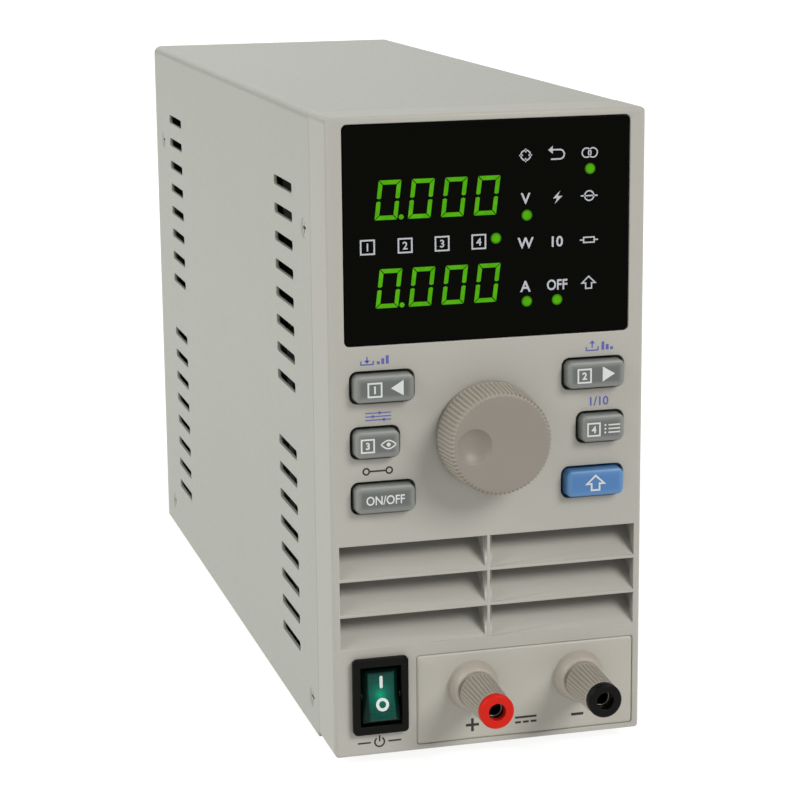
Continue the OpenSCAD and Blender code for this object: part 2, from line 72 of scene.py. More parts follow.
def material(name, rgb, rough=0.5, metallic=0.0, var=0.04, var_mm=30.0, fine=0.03,
             fine_mm=0.7, rough_var=0.05, bump=0.0, bump_mm=0.5, peel=0.0, peel_mm=2.5,
             spec=None, coat=0.0, coat_rough=0.1, stretch=None, sss=0.0, sss_mm=1.0):
    """Procedural finish: colour drifts over var_mm and in grains of fine_mm, roughness
    follows the grains, bump and peel are relief heights in millimetres."""
    m = bpy.data.materials.new(name)
    m.use_nodes = True
    nt = m.node_tree
    nt.nodes.clear()
    new, link = nt.nodes.new, nt.links.new
    out = new("ShaderNodeOutputMaterial")
    b = new("ShaderNodeBsdfPrincipled")
    link(b.outputs["BSDF"], out.inputs["Surface"])
    tc = new("ShaderNodeTexCoord")
    coord = tc.outputs["Object"]
    if stretch:
        mp = new("ShaderNodeMapping")
        mp.inputs["Scale"].default_value = stretch
        link(coord, mp.inputs["Vector"])
        coord = mp.outputs["Vector"]

    def noise(size, detail=2.0, rough_n=0.5):
        n = new("ShaderNodeTexNoise")
        n.inputs["Scale"].default_value = 1000.0 / size
        n.inputs["Detail"].default_value = detail
        n.inputs["Roughness"].default_value = rough_n
        link(coord, n.inputs["Vector"])
        return n.outputs["Fac"]

    big, small = noise(var_mm, 3.0), noise(fine_mm, 2.0)
    total = var + fine
    w1 = new("ShaderNodeMath")
    w1.operation = "MULTIPLY"
    w1.inputs[1].default_value = var / total
    link(big, w1.inputs[0])
    w2 = new("ShaderNodeMath")
    w2.operation = "MULTIPLY_ADD"
    w2.inputs[1].default_value = fine / total
    link(small, w2.inputs[0])
    link(w1.outputs[0], w2.inputs[2])
    ramp = new("ShaderNodeValToRGB")
    ramp.color_ramp.elements[0].position = 0.25
    ramp.color_ramp.elements[1].position = 0.75
    ramp.color_ramp.elements[0].color = shade(rgb, 1.0 - total)
    ramp.color_ramp.elements[1].color = shade(rgb, 1.0 + total)
    link(w2.outputs[0], ramp.inputs["Fac"])
    link(ramp.outputs["Color"], b.inputs["Base Color"])
    rr = new("ShaderNodeMapRange")
    rr.inputs["From Min"].default_value = 0.3
    rr.inputs["From Max"].default_value = 0.7
    rr.inputs["To Min"].default_value = max(0.02, rough - rough_var)
    rr.inputs["To Max"].default_value = min(1.0, rough + rough_var)
    link(small, rr.inputs["Value"])
    link(rr.outputs["Result"], b.inputs["Roughness"])
    b.inputs["Metallic"].default_value = metallic
    if spec is not None:
        b.inputs["Specular IOR Level"].default_value = spec
    if coat:
        b.inputs["Coat Weight"].default_value = coat
        b.inputs["Coat Roughness"].default_value = coat_rough
    if sss:
        b.inputs["Subsurface Weight"].default_value = sss
        b.inputs["Subsurface Radius"].default_value = (1.0, 1.0, 1.0)
        b.inputs["Subsurface Scale"].default_value = sss_mm * MM
    normal = None
    for height, size in ((peel, peel_mm), (bump, bump_mm)):
        if height:
            bp = new("ShaderNodeBump")
            bp.inputs["Strength"].default_value = 1.0
            bp.inputs["Distance"].default_value = height * MM
            link(noise(size, 2.0), bp.inputs["Height"])
            if normal is not None:
                link(normal, bp.inputs["Normal"])
            normal = bp.outputs["Normal"]
    if normal is not None:
        link(normal, b.inputs["Normal"])
    MATS[name] = m
    return m


def bsdf(m):
    return next(n for n in m.node_tree.nodes if n.type == "BSDF_PRINCIPLED")


KEY = 0.76
material("paint", lin(174, 173, 161, 0.66), rough=0.46, var=0.012, var_mm=55, fine=0.02,
         fine_mm=0.8, bump=0.012, bump_mm=0.55, peel=0.012, peel_mm=1.8)
material("bezel", lin(177, 174, 164, 0.71), rough=0.5, var=0.012, var_mm=40, fine=0.022,
         fine_mm=0.6, bump=0.010, bump_mm=0.4)
material("plate", lin(175, 171, 160, KEY), rough=0.5, var=0.012, var_mm=30, fine=0.02,
         fine_mm=0.6, bump=0.010, bump_mm=0.4)
material("window", lin(6, 6, 4), rough=0.16, var=0.05, var_mm=20, fine=0.02, fine_mm=1.5,
         rough_var=0.05, spec=0.015)
material("sheet", lin(168, 171, 172), rough=0.38, metallic=0.9, var=0.05, var_mm=9, fine=0.05,
         fine_mm=1.4, bump=0.004, bump_mm=0.8)
# Near-black for the steel subpanel behind the louvres: painted shade, so the case interior reads dark through the
# vents.
material("black_steel", lin(24, 24, 23), rough=0.55, var=0.05, fine=0.06, bump=0.01, bump_mm=0.6)
material("screw", lin(206, 206, 200), rough=0.24, metallic=1.0, var=0.05, var_mm=4, fine=0.05,
         fine_mm=0.4, bump=0.003, bump_mm=0.3)
# Cover screws: the screw metal made darker, painted shade for the dark reflections these screws show.
material("screw_painted_shade", lin(160, 157, 148), rough=0.28, metallic=1.0, var=0.08, var_mm=2.5, fine=0.06,
         fine_mm=0.4, bump=0.004, bump_mm=0.3)
material("rubber", lin(34, 34, 34), rough=0.75, var=0.06, var_mm=8, fine=0.08, fine_mm=0.5,
         bump=0.02, bump_mm=0.5)
material("knob", lin(151, 142, 130, 0.60), rough=0.5, var=0.015, var_mm=12, fine=0.025, fine_mm=0.45,
         bump=0.008, bump_mm=0.35)
# The next two are one plastic at two brightnesses: painted light and shade, lighter for the collars and bushes, darker
# for the fluted caps.
material("cap", lin(154, 146, 134, 0.88), rough=0.48, var=0.015, var_mm=8, fine=0.025, fine_mm=0.4,
         bump=0.008, bump_mm=0.35)
material("cap_plastic_painted_darker", lin(153, 145, 133, 0.78), rough=0.48, var=0.015, var_mm=8, fine=0.025, fine_mm=0.4,
         bump=0.008, bump_mm=0.35)
material("key_grey", lin(123, 127, 123, 0.41), rough=0.5, var=0.02, var_mm=10, fine=0.03, fine_mm=0.35,
         bump=0.010, bump_mm=0.35)
material("key_blue", lin(76, 137, 200, 0.53), rough=0.46, var=0.02, var_mm=10, fine=0.03, fine_mm=0.35,
         bump=0.010, bump_mm=0.35)
material("switch", lin(11, 11, 9), rough=0.42, var=0.05, var_mm=12, fine=0.05, fine_mm=0.4,
         bump=0.008, bump_mm=0.35, spec=0.08)
material("ring_red", lin(202, 28, 12, 0.76), rough=0.4, var=0.03, var_mm=5, fine=0.03, fine_mm=0.4,
         bump=0.006, bump_mm=0.4, spec=0.12)
material("ring_black", lin(8, 7, 6), rough=0.4, var=0.05, var_mm=5, fine=0.05, fine_mm=0.4,
         bump=0.006, bump_mm=0.4, spec=0.10)
material("socket", lin(128, 124, 116), rough=0.34, metallic=1.0, var=0.06, var_mm=3, fine=0.05,
         fine_mm=0.4, rough_var=0.06)
material("nickel", lin(205, 203, 196), rough=0.2, metallic=1.0, var=0.04, var_mm=5, fine=0.04,
         fine_mm=0.4, rough_var=0.06)
material("brass", lin(205, 180, 108), rough=0.28, metallic=1.0, var=0.06, var_mm=6, fine=0.04,
         fine_mm=0.5)
material("aluminium", lin(182, 184, 186), rough=0.42, metallic=1.0, var=0.05, var_mm=10, fine=0.06,
         fine_mm=0.8, bump=0.006, bump_mm=0.6, stretch=(1.0, 0.05, 1.0))
material("board", lin(30, 92, 56), rough=0.4, var=0.10, var_mm=6, fine=0.06, fine_mm=0.6,
         coat=0.5, coat_rough=0.2)
material("plastic", lin(27, 27, 27), rough=0.48, var=0.06, var_mm=14, fine=0.06, fine_mm=0.5,
         bump=0.010, bump_mm=0.4, spec=0.4)
material("led_unlit", lin(52, 84, 34), rough=0.3, var=0.05, var_mm=3, fine=0.05, fine_mm=0.4,
         coat=0.6, coat_rough=0.1)
material("sleeve", lin(40, 52, 70), rough=0.35, var=0.05, var_mm=6, fine=0.04, fine_mm=0.5)
material("core", lin(112, 114, 118), rough=0.5, metallic=0.8, var=0.10, var_mm=4, fine=0.10,
         fine_mm=0.5, stretch=(1.0, 1.0, 6.0))
material("copper", lin(196, 130, 72), rough=0.35, metallic=0.9, var=0.08, var_mm=5, fine=0.10,
         fine_mm=0.5, stretch=(1.0, 1.0, 8.0))
material("cable", lin(170, 40, 32), rough=0.45, var=0.04, var_mm=10, fine=0.04, fine_mm=0.6)
material("harness", lin(52, 52, 54), rough=0.55, var=0.06, var_mm=8, fine=0.06, fine_mm=0.6)
material("ribbon", lin(172, 174, 178), rough=0.5, var=0.05, var_mm=1.2, fine=0.03, fine_mm=0.6)
material("fuse", lin(216, 220, 218), rough=0.14, var=0.03, var_mm=4, fine=0.03, fine_mm=0.6,
         coat=0.6, coat_rough=0.05)
material("selector", lin(190, 46, 38), rough=0.42, var=0.04, var_mm=4, fine=0.04, fine_mm=0.5)
material("ink_white", lin(205, 209, 216, 0.56), rough=0.6, var=0.03, var_mm=3, fine=0.04, fine_mm=0.25)
material("ink_key", lin(222, 225, 222, 0.66), rough=0.6, var=0.02, var_mm=3, fine=0.03, fine_mm=0.25)
material("ink_blue", lin(82, 84, 158, 0.8), rough=0.6, var=0.03, var_mm=3, fine=0.05, fine_mm=0.25)
material("ink_black", lin(24, 23, 22, 0.9), rough=0.7, var=0.04, var_mm=3, fine=0.06, fine_mm=0.25)
material("floor", (0.20, 0.20, 0.20), rough=0.9, var=0.004, var_mm=400, fine=0.004, fine_mm=20, spec=0.1)
# the white sweep is lit from behind as well
bsdf(MATS["floor"]).inputs["Emission Color"].default_value = (1.0, 1.0, 1.0, 1.0)
bsdf(MATS["floor"]).inputs["Emission Strength"].default_value = 0.86



def painted_edge_light_and_shade(name, light, amount):
    """Mixes a painted tone in where the mesh's own edge layer rises: a lighter tone paints highlight along rims, a
    darker one paints shade on flanks.
    """
    nt = MATS[name].node_tree
    b = bsdf(MATS[name])
    base = b.inputs["Base Color"].links[0].from_socket
    at = nt.nodes.new("ShaderNodeAttribute")
    at.attribute_name = "edge"
    k = nt.nodes.new("ShaderNodeMath")
    k.operation = "MULTIPLY"
    k.inputs[1].default_value = amount
    nt.links.new(at.outputs["Fac"], k.inputs[0])
    mx = nt.nodes.new("ShaderNodeMix")
    mx.data_type = "RGBA"
    nt.links.new(k.outputs[0], mx.inputs["Factor"])
    nt.links.new(base, mx.inputs[6])
    mx.inputs[7].default_value = light + (1.0,)
    nt.links.new(mx.outputs[2], b.inputs["Base Color"])


# Painted highlight: the key rims are mixed lighter where their rounded edges catch the light.
painted_edge_light_and_shade("key_grey", lin(166, 167, 160, 0.58), 0.6)
painted_edge_light_and_shade("key_blue", lin(112, 164, 216, 0.55), 0.5)
# Painted highlight: the knob's rib lands are mixed lighter while the grooves stay darker.
painted_edge_light_and_shade("knob", lin(168, 158, 145, 0.76), 0.9)

# lit green: brighter in the core of each mark
m = material("lit_green", (0.003, 0.015, 0.0005), rough=0.4, var=0.03, var_mm=3, fine=0.05, fine_mm=0.5, spec=0.02)
nt = m.node_tree
tc = nt.nodes.new("ShaderNodeTexCoord")
ns = nt.nodes.new("ShaderNodeTexNoise")
ns.inputs["Scale"].default_value = 1000.0 / 2.2
nt.links.new(tc.outputs["Object"], ns.inputs["Vector"])
cr = nt.nodes.new("ShaderNodeValToRGB")
cr.color_ramp.elements[0].position = 0.3
cr.color_ramp.elements[1].position = 0.7
cr.color_ramp.elements[0].color = (0.062, 0.34, 0.003, 1)
cr.color_ramp.elements[1].color = (0.090, 0.42, 0.006, 1)
nt.links.new(ns.outputs["Fac"], cr.inputs["Fac"])
nt.links.new(cr.outputs["Color"], bsdf(m).inputs["Emission Color"])


def dimmed(m, amount):
    """Emission falls off where the mesh's edge layer rises."""
    nt = m.node_tree
    at = nt.nodes.new("ShaderNodeAttribute")
    at.attribute_name = "edge"
    k = nt.nodes.new("ShaderNodeMath")
    k.operation = "MULTIPLY_ADD"
    k.inputs[1].default_value = -amount
    k.inputs[2].default_value = 1.0
    nt.links.new(at.outputs["Fac"], k.inputs[0])
    nt.links.new(k.outputs[0], bsdf(m).inputs["Emission Strength"])


dimmed(m, 0.75)

# rocker: dark translucent green, glowing from the lamp behind its middle
SW = (-31.5, 17.65)
m = material("rocker", (0.0008, 0.034, 0.024), rough=0.3, var=0.05, var_mm=6, fine=0.03, fine_mm=0.6, spec=0.14)
nt = m.node_tree
tc = nt.nodes.new("ShaderNodeTexCoord")
mp = nt.nodes.new("ShaderNodeMapping")
mp.vector_type = "POINT"
lamp = P(SW[0] - 0.3, -1.2, SW[1] + 0.5)
GLOW = (4.9, 40.0, 5.4)
mp.inputs["Location"].default_value = tuple(-lamp[i] / (s * MM) for i, s in enumerate(GLOW))
mp.inputs["Scale"].default_value = tuple(1 / (s * MM) for s in GLOW)
nt.links.new(tc.outputs["Object"], mp.inputs["Vector"])
gr = nt.nodes.new("ShaderNodeTexGradient")
gr.gradient_type = "SPHERICAL"
nt.links.new(mp.outputs["Vector"], gr.inputs["Vector"])
cr = nt.nodes.new("ShaderNodeValToRGB")
cr.color_ramp.elements[0].position = 0.0
cr.color_ramp.elements[0].color = (0.0004, 0.010, 0.007, 1)
cr.color_ramp.elements[1].position = 1.0
cr.color_ramp.elements[1].color = (0.0006, 0.30, 0.15, 1)
e = cr.color_ramp.elements.new(0.30)
e.color = (0.0004, 0.028, 0.018, 1)
e = cr.color_ramp.elements.new(0.62)
e.color = (0.0005, 0.085, 0.050, 1)
e = cr.color_ramp.elements.new(0.85)
e.color = (0.0006, 0.20, 0.105, 1)
nt.links.new(gr.outputs["Fac"], cr.inputs["Fac"])
nt.links.new(cr.outputs["Color"], bsdf(m).inputs["Emission Color"])
dimmed(m, 0.96)
# Painted shade: the rocker's base colour is darkened on its flanks and ends.
painted_edge_light_and_shade("rocker", (0.0006, 0.004, 0.003), 0.95)


# --------------------------------------------------------------- mesh helpers
def piece(name, bm, mat, body, replaces=(), angle=35.0, weld=1e-7):
    """Closes, smooths and hangs a mesh on its body."""
    if weld:
        bmesh.ops.remove_doubles(bm, verts=bm.verts, dist=weld)
        bmesh.ops.dissolve_degenerate(bm, dist=weld, edges=bm.edges)
    bmesh.ops.recalc_face_normals(bm, faces=bm.faces)
    me = bpy.data.meshes.new(name)
    bm.to_mesh(me)
    bm.free()
    me.materials.append(MATS[mat])
    me.shade_smooth()
    me.set_sharp_from_angle(angle=math.radians(angle))
    ob = bpy.data.objects.new(name, me)
    bpy.context.scene.collection.objects.link(ob)
    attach(ob, body)
    if replaces:
        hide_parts(*replaces)
    return ob


def round_path(pts, radii, n=5):
    """Closed path with its corners rounded; radii is one number or one per corner."""
    out, m = [], len(pts)
    for i, p in enumerate(pts):
        r = radii if isinstance(radii, (int, float)) else radii[i]
        a, b = pts[i - 1], pts[(i + 1) % m]
        v1 = (a[0] - p[0], a[1] - p[1])
        v2 = (b[0] - p[0], b[1] - p[1])
        l1, l2 = math.hypot(*v1), math.hypot(*v2)
        if r <= 0 or l1 < 1e-9 or l2 < 1e-9:
            out.append(p)
            continue
        c = max(-1.0, min(1.0, (v1[0] * v2[0] + v1[1] * v2[1]) / (l1 * l2)))
        half = math.acos(c) / 2
        t = min(r / max(math.tan(half), 1e-6), l1 * 0.48, l2 * 0.48)
        p1 = (p[0] + v1[0] / l1 * t, p[1] + v1[1] / l1 * t)
        p2 = (p[0] + v2[0] / l2 * t, p[1] + v2[1] / l2 * t)
        for k in range(n + 1):
            s = k / n
            out.append(tuple((1 - s) ** 2 * p1[j] + 2 * s * (1 - s) * p[j] + s * s * p2[j] for j in (0, 1)))
    return out


def lathe(bm, cx, cz, prof, n=96, radial=None):
    """Solid turned about a line along y; prof is a closed loop of (radius, y)."""
    rings = []
    for i in range(n):
        a = 2 * PI * i / n
        ring = []
        for r, y in prof:
            q = radial(r, y, a) if radial else r
            ring.append(bm.verts.new(P(cx + q * math.cos(a), y, cz + q * math.sin(a))))
        rings.append(ring)
    m = len(prof)
    for i in range(n):
        a, b = rings[i], rings[(i + 1) % n]
        for j in range(m):
            k = (j + 1) % m
            bm.faces.new((a[j], a[k], b[k], b[j]))


def rr(w, h, r, n=7):
    """Rounded rectangle about the origin, as points (x, z)."""
    pts = []
    for sx, sz, a0 in ((1, 1, 0), (-1, 1, 90), (-1, -1, 180), (1, -1, 270)):
        for k in range(n + 1):
            a = math.radians(a0 + 90.0 * k / n)
            pts.append((sx * (w / 2 - r) + r * math.cos(a), sz * (h / 2 - r) + r * math.sin(a)))
    return pts


def loft(bm, rings, cap0=True, cap1=True):
    vs = [[bm.verts.new(p) for p in r] for r in rings]
    n = len(vs[0])
    for a, b in zip(vs, vs[1:]):
        for i in range(n):
            j = (i + 1) % n
            bm.faces.new((a[i], a[j], b[j], b[i]))
    if cap0:
        bm.faces.new(vs[0][::-1])
    if cap1:
        bm.faces.new(vs[-1])
    return vs


def refine(node, mat, body, width, seg=2, angle=35.0, pick=None, smooth=30.0, weighted=True):
    """A finer copy of a construction piece: flat faces joined up, real edges broken."""
    bm = bmesh.new()
    bm.from_mesh(NODES[node].data)
    bmesh.ops.remove_doubles(bm, verts=bm.verts, dist=2e-6)
    bmesh.ops.dissolve_limit(bm, angle_limit=math.radians(0.2), use_dissolve_boundaries=False,
                             verts=bm.verts, edges=bm.edges)
    picked = []
    for e in bm.edges:
        if len(e.link_faces) != 2 or e.calc_face_angle(0.0) < math.radians(angle):
            continue
        if pick is None or pick(e):
            picked.append(e)
    if picked:
        bmesh.ops.bevel(bm, geom=picked, offset=width * MM, offset_type="OFFSET", segments=seg,
                        profile=0.5, affect="EDGES", clamp_overlap=False, loop_slide=True,
                        miter_outer="SHARP", miter_inner="SHARP")
    ob = piece(node + "_finish", bm, mat, body, (node,), angle=smooth, weld=0)
    if weighted:
        wn = ob.modifiers.new("flat_faces", "WEIGHTED_NORMAL")
        wn.keep_sharp = True
        wn.weight = 60
    return ob


def fill(bm, *loops):
    """Flat face between closed loops, the first of them the outer one."""
    edges = []
    for loop in loops:
        for i, v in enumerate(loop):
            w = loop[(i + 1) % len(loop)]
            edges.append(bm.edges.get((v, w)) or bm.edges.new((v, w)))
    bmesh.ops.triangle_fill(bm, use_beauty=True, use_dissolve=False, edges=edges)


def soften(node, mat, body, width, front=0.0, smooth=30.0, seg=3):
    """A finer copy of a flat-fronted piece: every opening in the front plane gets a rounded lip."""
    bm = bmesh.new()
    bm.from_mesh(NODES[node].data)
    bmesh.ops.remove_doubles(bm, verts=bm.verts, dist=2e-6)
    bmesh.ops.dissolve_limit(bm, angle_limit=math.radians(0.2), use_dissolve_boundaries=False,
                             verts=bm.verts, edges=bm.edges)
    level = (front + Y0) * MM
    flat = [f for f in bm.faces if all(abs(v.co.y - level) < 4e-6 for v in f.verts)]
    inside = set(flat)
    step = {}
    for f in flat:
        for lp in f.loops:
            if all(g in inside for g in lp.edge.link_faces):
                continue
            sharp = lp.edge.calc_face_angle(0.0) > math.radians(35)
            a, b = lp.vert, lp.link_loop_next.vert
            d = (b.co - a.co).normalized()
            step[a] = (b, sharp, d, f.normal.cross(d))
    bmesh.ops.delete(bm, geom=flat, context="FACES")
    w = width * MM
    ends, todo = [], dict(step)
    while todo:
        loop = [next(iter(todo))]
        while step[loop[-1]][0] is not loop[0]:
            loop.append(step[loop[-1]][0])
        rows = [[] for k in range(seg + 1)]
        for i, v in enumerate(loop):
            todo.pop(v, None)
            _, s1, d1, n1 = step[loop[i - 1]]
            _, s2, d2, n2 = step[v]
            if not s1 and not s2:
                for row in rows:
                    row.append(v)
                continue
            if s1 and s2:
                m_ = (n1 + n2) / max(0.4, 1.0 + n1.dot(n2))
            elif s1:
                m_ = d2 / d2.dot(n1) if d2.dot(n1) > 0.3 else n1
            else:
                m_ = -d1 / -d1.dot(n2) if -d1.dot(n2) > 0.3 else n2
            at = v.co.copy()
            v.co.y = at.y + w
            rows[0].append(v)
            for k in range(1, seg + 1):
                t = PI / 2 * k / seg
                q = at + m_ * (w * (1 - math.cos(t)))
                rows[k].append(bm.verts.new((q.x, at.y + w * (1 - math.sin(t)), q.z)))
        n = len(loop)
        for lo, hi in zip(rows, rows[1:]):
            for i in range(n):
                k = (i + 1) % n
                ring = []
                for v in (lo[i], lo[k], hi[k], hi[i]):
                    if v not in ring:
                        ring.append(v)
                if len(ring) > 2:
                    bm.faces.new(ring)
        ends.append(rows[-1])
    fill(bm, *ends)
    ob = piece(node + "_finish", bm, mat, body, (node,), angle=smooth, weld=0)
    wn = ob.modifiers.new("flat_faces", "WEIGHTED_NORMAL")
    wn.keep_sharp = True
    wn.weight = 60
    return ob


def local(e):
    """Middle of an edge in the part's own layout."""
    c = (e.verts[0].co + e.verts[1].co) / 2
    return c.x / MM, c.y / MM - Y0, c.z / MM - Z0


# ------------------------------------------------------------------ printing
class Ink:
    """Flat marks as thin closed prisms. at(x, z, d) places a mark's point, d = 0 on the
    outer face of the ink and d = 1 below the surface that carries it."""

    def __init__(self, at):
        self.bm, self.at = bmesh.new(), at

    def poly(self, pts):
        a = [self.bm.verts.new(self.at(x, z, 0)) for x, z in pts]
        b = [self.bm.verts.new(self.at(x, z, 1)) for x, z in pts]
        n = len(pts)
        self.bm.faces.new(a)
        self.bm.faces.new(b[::-1])
        for i in range(n):
            j = (i + 1) % n
            self.bm.faces.new((a[j], a[i], b[i], b[j]))

    def band(self, inner, outer, closed):
        rows = [[self.bm.verts.new(self.at(x, z, d)) for x, z in pts]
                for pts, d in ((inner, 0), (outer, 0), (outer, 1), (inner, 1))]
        n = len(inner)
        for i in range(n if closed else n - 1):
            j = (i + 1) % n
            for k in range(4):
                a, b = rows[k], rows[(k + 1) % 4]
                self.bm.faces.new((a[i], a[j], b[j], b[i]))
        if not closed:
            self.bm.faces.new([r[0] for r in rows])
            self.bm.faces.new([r[-1] for r in rows][::-1])

    def stroke(self, pts, w, closed=False):
        """Line of width w along pts, mitred at its corners."""
        n, inner, outer = len(pts), [], []
        for i, p in enumerate(pts):
            a = pts[i - 1] if (i > 0 or closed) else None
            b = pts[(i + 1) % n] if (i < n - 1 or closed) else None
            d1 = None if a is None else Vector((p[0] - a[0], p[1] - a[1])).normalized()
            d2 = None if b is None else Vector((b[0] - p[0], b[1] - p[1])).normalized()
            d1, d2 = d1 or d2, d2 or d1
            n1, n2 = Vector((-d1.y, d1.x)), Vector((-d2.y, d2.x))
            m_ = (n1 + n2).normalized()
            k = min(2.5, 1.0 / max(0.2, m_.dot(n1)))
            inner.append((p[0] + m_.x * w / 2 * k, p[1] + m_.y * w / 2 * k))
            outer.append((p[0] - m_.x * w / 2 * k, p[1] - m_.y * w / 2 * k))
        self.band(inner, outer, closed)

    def arc(self, cx, cz, r, w, a0=0.0, a1=360.0, n=40):
        closed = abs(a1 - a0) >= 359.9
        m_ = n if closed else n + 1
        an = [math.radians(a0 + (a1 - a0) * i / n) for i in range(m_)]
        self.band([(cx + (r - w / 2) * math.cos(a), cz + (r - w / 2) * math.sin(a)) for a in an],
                  [(cx + (r + w / 2) * math.cos(a), cz + (r + w / 2) * math.sin(a)) for a in an], closed)

    def disc(self, cx, cz, r, n=28):
        self.poly([(cx + r * math.cos(2 * PI * i / n), cz + r * math.sin(2 * PI * i / n)) for i in range(n)])

    def rect(self, x0, z0, x1, z1):
        self.poly([(x0, z0), (x1, z0), (x1, z1), (x0, z1)])

    def box(self, cx, cz, s, w):
        h = s / 2 - w / 2
        self.stroke([(cx - h, cz - h), (cx + h, cz - h), (cx + h, cz + h), (cx - h, cz + h)], w, True)

    def text(self, s, cx, cz, cap, bold=0.0, stretch=1.0):
        """Plain numbers and letters in the built-in face, cap millimetres tall."""
        cu = bpy.data.curves.new("glyphs", "FONT")
        cu.body = s
        cu.size = 1.0
        cu.resolution_u = 5
        cu.offset = bold
        cu.extrude = 0.5
        ob = bpy.data.objects.new("glyphs", cu)
        bpy.context.scene.collection.objects.link(ob)
        dg = bpy.context.evaluated_depsgraph_get()
        me = bpy.data.meshes.new_from_object(ob.evaluated_get(dg))
        bpy.data.objects.remove(ob)
        bpy.data.curves.remove(cu)
        xs = [v.co.x for v in me.vertices]
        ys = [v.co.y for v in me.vertices]
        k = cap / (max(ys) - min(ys))
        mx, my = (max(xs) + min(xs)) / 2, (max(ys) + min(ys)) / 2
        for v in me.vertices:
            v.co = self.at(cx + (v.co.x - mx) * k * stretch, cz + (v.co.y - my) * k, 0.5 - v.co.z)
        self.bm.from_mesh(me)
        bpy.data.meshes.remove(me)

    def done(self, name, mat, body, slot=None):
        return piece(name, self.bm, mat, body, angle=30.0, weld=4e-7)


def on_face(top, base):
    return lambda x, z, d: P(x, top + (base - top) * d, z)


# --------------------------------------------------------------------- camera
cam = bpy.data.cameras.new("camera")
cam.lens = 107.73
cam.sensor_width = 36.0
cam.sensor_fit = "HORIZONTAL"
cam.clip_start = 0.02
cam.clip_end = 50.0
cam_ob = bpy.data.objects.new("camera", cam)
bpy.context.scene.collection.objects.link(cam_ob)
right = Vector((0.96517615, -0.26141657, -0.00981749))
up = Vector((0.06652696, 0.20898354, 0.97565365))
back = Vector((-0.25300034, -0.94233076, 0.21909718))
mw = Matrix.Identity(4)
for i in range(3):
    mw[i][0], mw[i][1], mw[i][2] = right[i], up[i], back[i]
mw[0][3], mw[1][3], mw[2][3] = -0.18743, -0.729615, 0.24402
cam_ob.matrix_world = mw
bpy.context.scene.camera = cam_ob

# ---------------------------------------------------------------------- stage
bm = bmesh.new()
R = 9.0
for x, y in ((-R, -R), (R, -R), (R, R), (-R, R)):
    bm.verts.new((x, y, 0.0))
bm.faces.new(bm.verts[:])
me = bpy.data.meshes.new("floor")
bm.to_mesh(me)
bm.free()
me.materials.append(MATS["floor"])
floor = bpy.data.objects.new("floor", me)
bpy.context.scene.collection.objects.link(floor)

world = bpy.data.worlds.new("studio")
world.use_nodes = True
bg = next(n for n in world.node_tree.nodes if n.type == "BACKGROUND")
bg.inputs["Color"].default_value = (1.0, 1.0, 1.0, 1.0)
bg.inputs["Strength"].default_value = 0.34
bpy.context.scene.world = world


def sun(name, toward, strength, degrees, color=(1, 1, 1)):
    """Broad soft light that comes from the direction toward."""
    la = bpy.data.lights.new(name, "SUN")
    la.energy = strength
    la.angle = math.radians(degrees)
    la.color = color
    ob = bpy.data.objects.new(name, la)
    bpy.context.scene.collection.objects.link(ob)
    ob.matrix_world = Vector(toward).to_track_quat("Z", "Y").to_matrix().to_4x4()
    return ob


sun("key_light", (0.49, -0.68, 0.60), 2.6, 26)
sun("side_light", (-0.8, -0.1, 0.6), 2.3, 36, (0.95, 1.0, 0.985))
sun("back_light", (0.0, 0.85, 0.5), 0.56, 50, (0.96, 0.98, 1.0))

vs = bpy.context.scene.view_settings
vs.view_transform = "Standard"
vs.look = "None"
vs.exposure = 0.0
vs.gamma = 1.0

# ------------------------------------------------ construction pieces, finished
PLAIN = {
    # The front subpanel takes the near-black painted-shade finish.
    "chassis_tray": "sheet", "front_subpanel": "black_steel", "encoder_body": "sheet",
    "chassis_screws": "screw", "board_screws": "screw", "display_board": "board",
    "main_board": "board", "digit_modules": "plastic", "indicator_leds": "led_unlit",
    "key_switches": "plastic", "encoder_shaft": "nickel", "switch_terminals": "brass",
    "post_bushes": "cap", "post_nuts": "brass", "solder_lugs": "nickel", "input_cables": "cable",
    "heat_sink": "aluminium", "sink_brackets": "aluminium", "power_transistors": "plastic",
    "standoffs": "brass", "terminal_block": "board", "capacitors": "sleeve",
    "transformer_core": "core", "transformer_winding": "copper", "ribbon_cable": "ribbon",
    "mains_harness": "harness", "fan_guard": "nickel", "inlet_pins": "nickel", "fuse": "fuse",
}
for name, mat in PLAIN.items():
    ob = NODES[name]
    ob.data.materials.clear()
    ob.data.materials.append(MATS[mat])


def in_front(e):
    x, y, z = local(e)
    return y < 1.2


soften("front_bezel", "bezel", "case", 0.24, smooth=50.0)
refine("display_window", "window", "case", 0.35, seg=3, pick=in_front)
refine("top_cover", "paint", "case", 0.14, angle=40)
refine("rear_panel", "paint", "case", 0.12, pick=lambda e: local(e)[1] > 267.0)
# The cover screws take the darkened screw metal: painted shade.
refine("cover_screws", "screw_painted_shade", "case", 0.07, pick=lambda e: abs(local(e)[0]) > 43.0)
refine("rubber_feet", "rubber", "case", 0.5, seg=3)
refine("switch_housing", "switch", "case", 0.4, seg=3, pick=lambda e: local(e)[1] < 0.5)
refine("fan_frame", "plastic", "case", 0.3, pick=lambda e: local(e)[1] > 266)
refine("fan_screws", "screw", "case", 0.25, seg=3, pick=lambda e: local(e)[1] > 268.2)
refine("mains_inlet", "plastic", "case", 0.3, seg=3, pick=lambda e: local(e)[1] > 266.5)
refine("fuse_drawer", "plastic", "drawer", 0.18, pick=lambda e: local(e)[1] > 269.5)
refine("selector_body", "plastic", "case", 0.25, pick=lambda e: local(e)[1] > 266.5)
refine("selector_slider", "selector", "selector", 0.25, seg=3)



